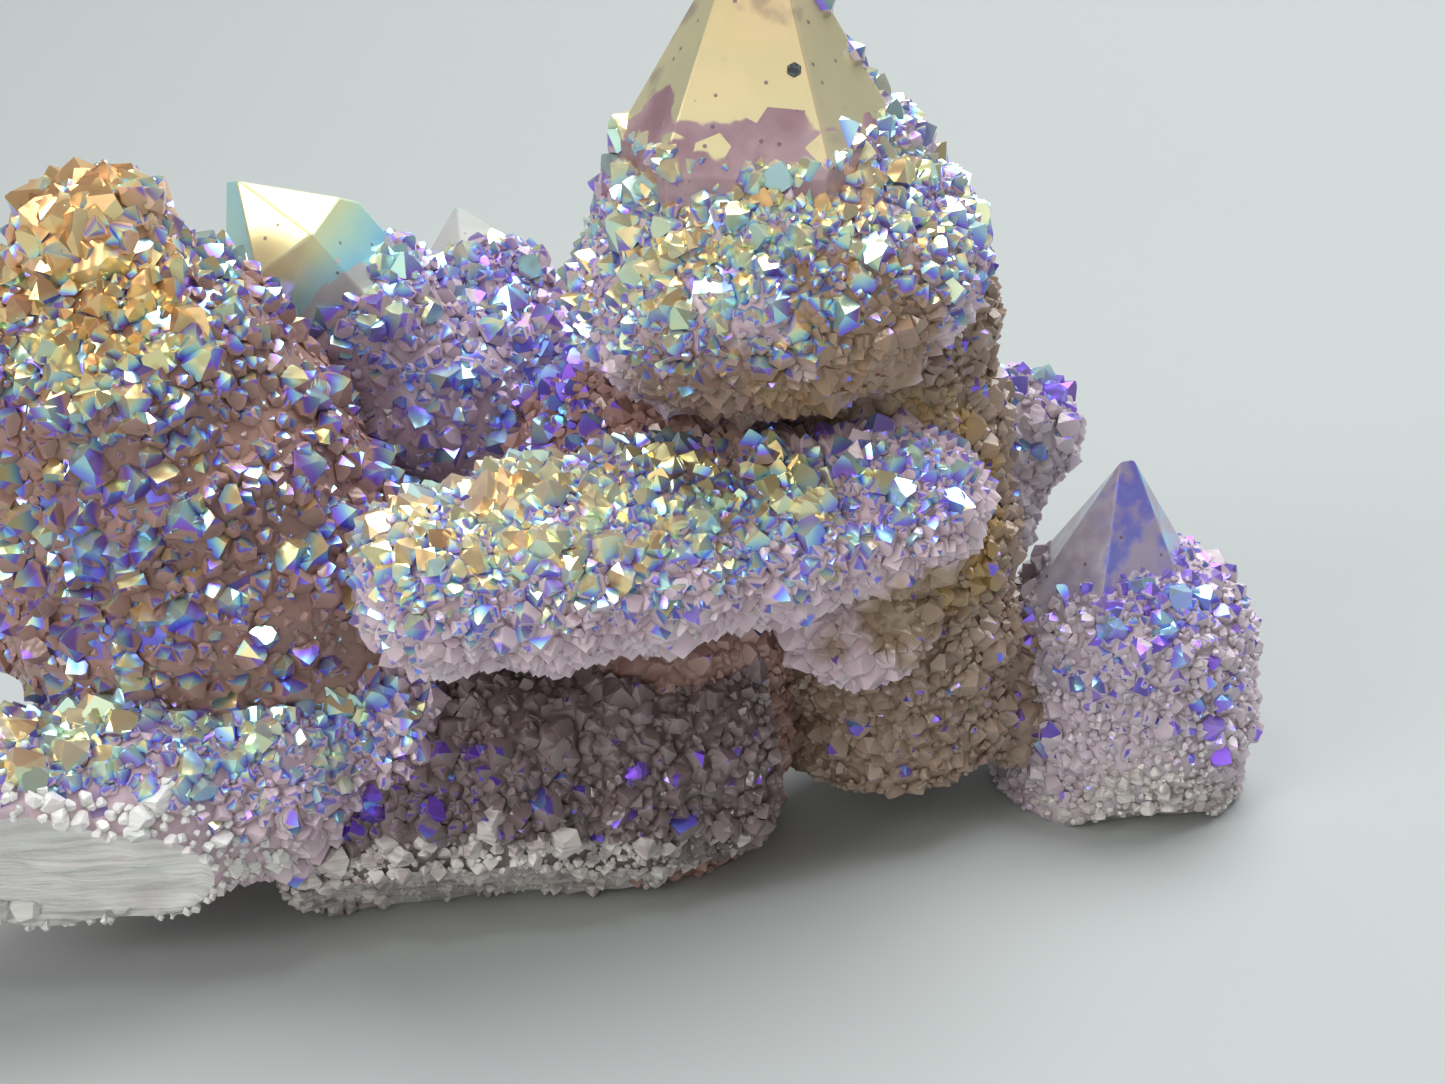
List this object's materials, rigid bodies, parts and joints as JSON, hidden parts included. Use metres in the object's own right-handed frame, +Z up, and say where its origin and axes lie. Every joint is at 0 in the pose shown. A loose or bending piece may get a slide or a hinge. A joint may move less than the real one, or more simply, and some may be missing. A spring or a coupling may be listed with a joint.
{
  "type": "quartz crystal cluster",
  "caption": "Aura-coated spirit quartz cluster: intergrown quartz points wrapped in small sparkling crystals, with bare tips, resting on a flat broken base.",
  "frame": {"origin": "middle of the cluster's bounding box in plan, on the plane of its flat broken base", "axes": "+Z up along the tall point, +X along the cluster's length towards the low violet point, -Y towards the front with the long ledge across it"},
  "size_m": [0.0894, 0.0492, 0.0624],
  "materials": {
    "quartz": "glossy crystal faces with an iridescent metal-vapour coating on top, bare pale lavender to brown crystal between and below"
  },
  "bodies": {
    "root": {"spirit_quartz_cluster": "quartz"}
  },
  "joints": []
}
